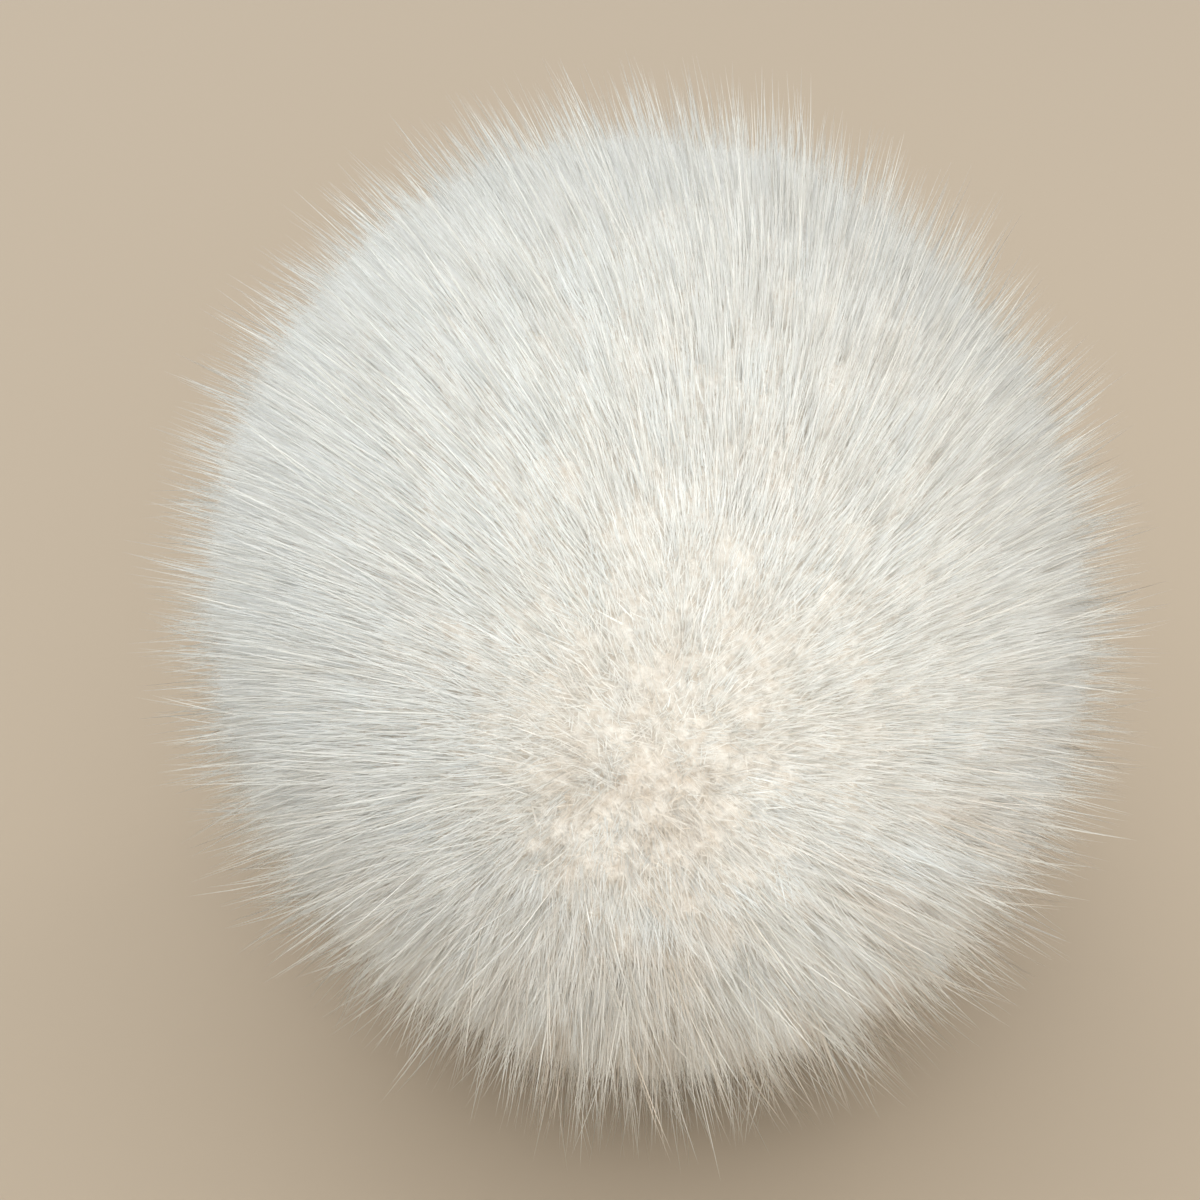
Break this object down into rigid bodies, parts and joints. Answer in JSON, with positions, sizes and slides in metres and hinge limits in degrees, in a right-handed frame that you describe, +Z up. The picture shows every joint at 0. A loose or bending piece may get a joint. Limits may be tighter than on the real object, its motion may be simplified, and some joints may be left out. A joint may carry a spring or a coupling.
{
  "type": "pom pom",
  "caption": "Large round ball of long soft white pile, parted at a crown on its front and combed back from it, used as a trimming on a hat, bag or key ring.",
  "frame": {"origin": "middle of the bounding box, on the surface that the ball rests on", "axes": "+Z up; -Y is the front, where the crown of the pile is; +X is the ball's right side as seen from the front"},
  "size_m": [0.128, 0.1392, 0.1321],
  "materials": {
    "white_pile": "long soft fur pile, warm white, matt with a faint sheen on the hairs"
  },
  "bodies": {
    "root": {"fur_ball": "white_pile"}
  },
  "joints": []
}
